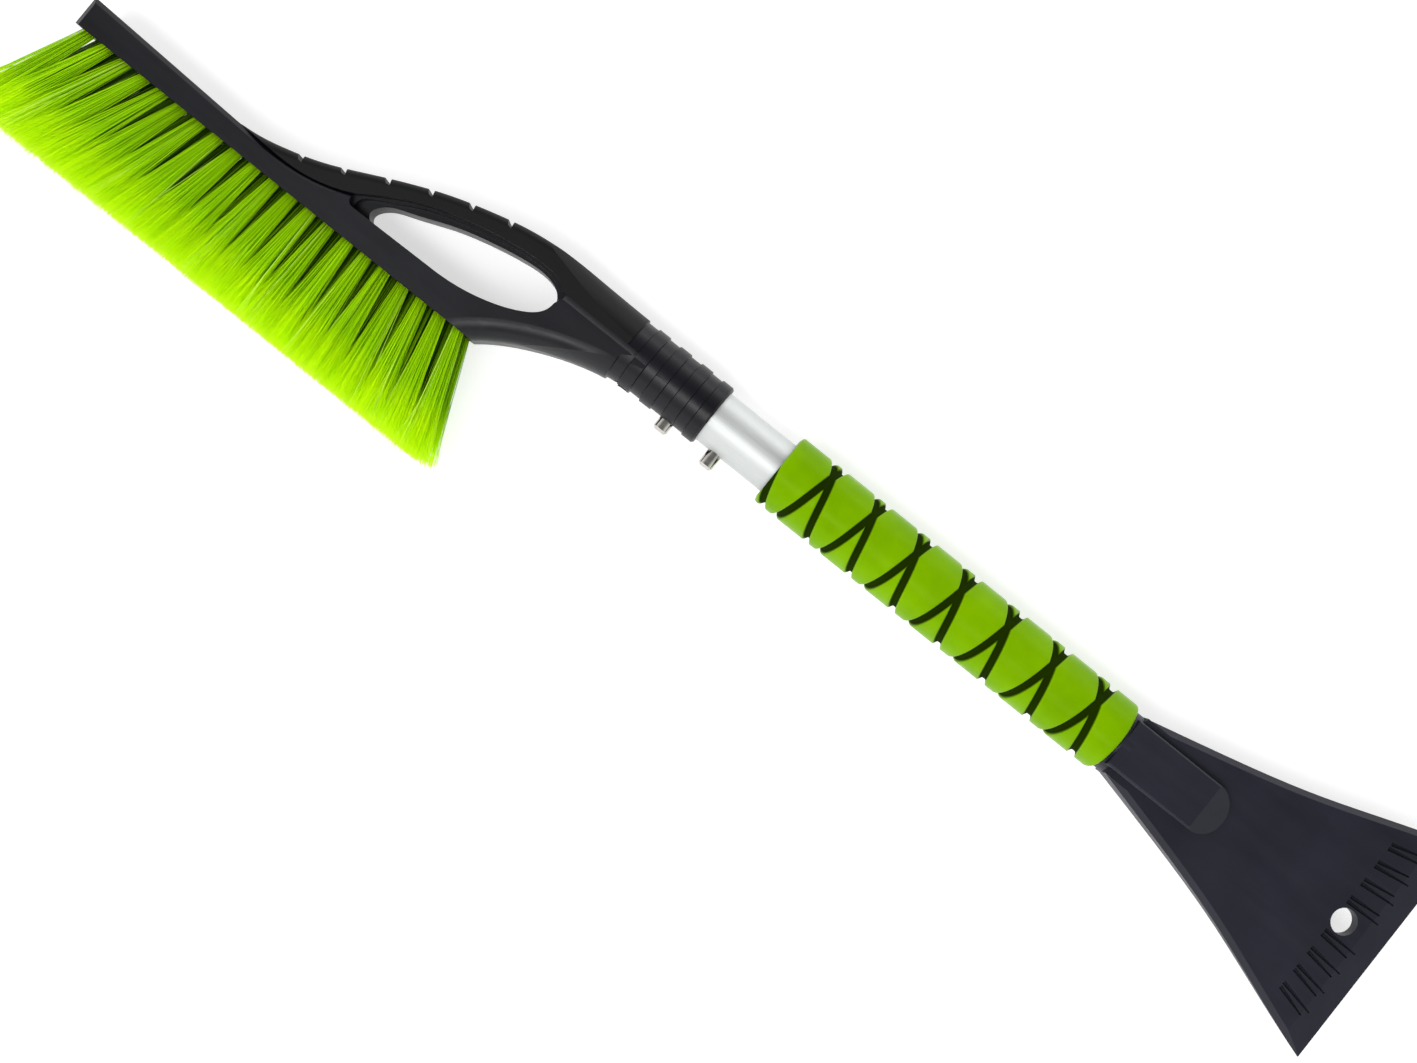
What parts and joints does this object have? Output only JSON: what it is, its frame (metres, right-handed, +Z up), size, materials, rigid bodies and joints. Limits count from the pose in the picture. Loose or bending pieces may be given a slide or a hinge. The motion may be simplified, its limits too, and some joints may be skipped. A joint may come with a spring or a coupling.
{
  "type": "snow brush scraper",
  "caption": "Snow brush with a finger-loop head that slides and locks on a foam-gripped tube, with a flared ice scraper at the far end.",
  "frame": {"origin": "bottom centre of the tool's bounding box, lying on its side", "axes": "+X along the tube from the brush to the scraper's edge, +Y away from the bristles, +Z up through the thickness"},
  "size_m": [0.7028, 0.154, 0.0346],
  "materials": {
    "tube_aluminium": "satin anodised",
    "hard_plastic": "satin moulded",
    "soft_plastic": "soft-touch matte",
    "foam_green": "closed-cell foam, satin skin",
    "foam_dark": "closed-cell foam, cut face",
    "bristle": "flagged filament",
    "button_chrome": "bright",
    "steel": "plain wire and strip"
  },
  "bodies": {
    "tool": {"handle_tube": "tube_aluminium", "tube_plug": "hard_plastic", "foam_core": "foam_dark", "foam_cover": "foam_green", "scraper_blade": "hard_plastic", "scraper_screws": "steel", "head_lock_spring": "steel", "grip_lock_spring": "steel"},
    "head_button": {"head_lock_button": "button_chrome"},
    "grip_button": {"grip_lock_button": "button_chrome"},
    "brush_head": {"brush_frame": "hard_plastic", "soft_grip": "soft_plastic", "bristle_row_1": "bristle", "bristle_row_2": "bristle", "bristle_row_3": "bristle", "bristle_row_4": "bristle", "end_tufts": "bristle", "tuft_staples": "steel"}
  },
  "joints": [
    {"name": "brush_slide", "type": "slide", "parent": "tool", "child": "brush_head", "axis": [1, 0, 0], "range_m": [-0.06, 0.025], "deforming": ["head_lock_button", "grip_lock_button", "head_lock_spring", "grip_lock_spring"]},
    {"name": "head_button_press", "type": "slide", "parent": "tool", "child": "head_button", "axis": [0, 1, 0], "range_m": [0, 0.0076], "stiffness_N_per_m": 800, "springref_m": -0.002, "deforming": ["head_lock_spring"]},
    {"name": "grip_button_press", "type": "slide", "parent": "tool", "child": "grip_button", "axis": [0, 1, 0], "range_m": [0, 0.0076], "stiffness_N_per_m": 800, "springref_m": -0.002, "deforming": ["grip_lock_spring"]}
  ]
}
